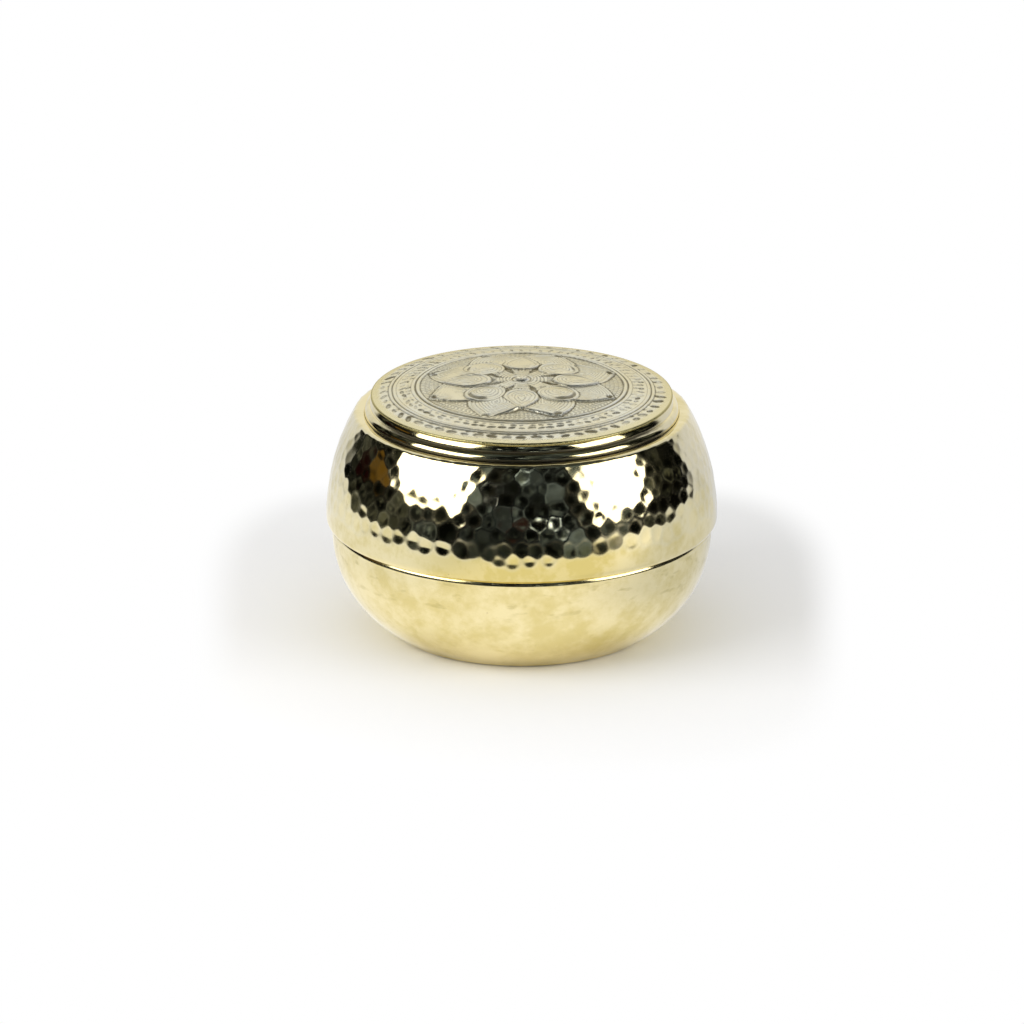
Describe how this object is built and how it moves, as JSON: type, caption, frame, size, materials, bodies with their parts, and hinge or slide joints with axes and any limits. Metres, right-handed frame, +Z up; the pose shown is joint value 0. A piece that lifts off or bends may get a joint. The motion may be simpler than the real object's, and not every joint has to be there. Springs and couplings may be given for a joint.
{
  "type": "lidded trinket box",
  "caption": "Squat round brass box: a spun bowl and a lift-off hammered lid, with a domed plate chased with a petalled rosette and punched borders on a turned collar.",
  "frame": {"origin": "centre of the flat underside that the box stands on", "axes": "+Z up along the box's axis of revolution, -Y towards the viewer of the picture, +X to the viewer's right"},
  "size_m": [0.12, 0.12, 0.0807],
  "materials": {
    "spun_brass": "spun and polished, with faint warm smudges",
    "sleeve_brass": "drawn strip, satin, slightly dulled",
    "hammered_brass": "planished all over with a small round-faced hammer and polished",
    "turned_brass": "turned and polished",
    "aged_nickel_silver": "nickel silver sheet, chased and punched, with dark tarnish in the hollows and a yellower margin",
    "soft_solder": "dull grey soft solder"
  },
  "bodies": {
    "lower_body": {"bowl": "spun_brass", "locating_sleeve": "sleeve_brass", "sleeve_solder": "soft_solder"},
    "lid": {"lid_dome": "hammered_brass", "neck_collar": "turned_brass", "collar_solder": "soft_solder", "chased_plate": "aged_nickel_silver", "plate_solder": "soft_solder"}
  },
  "joints": [
    {"name": "lid_lift", "type": "slide", "parent": "lower_body", "child": "lid", "axis": [0, 0, 1], "range_m": [0, 0.06]}
  ]
}
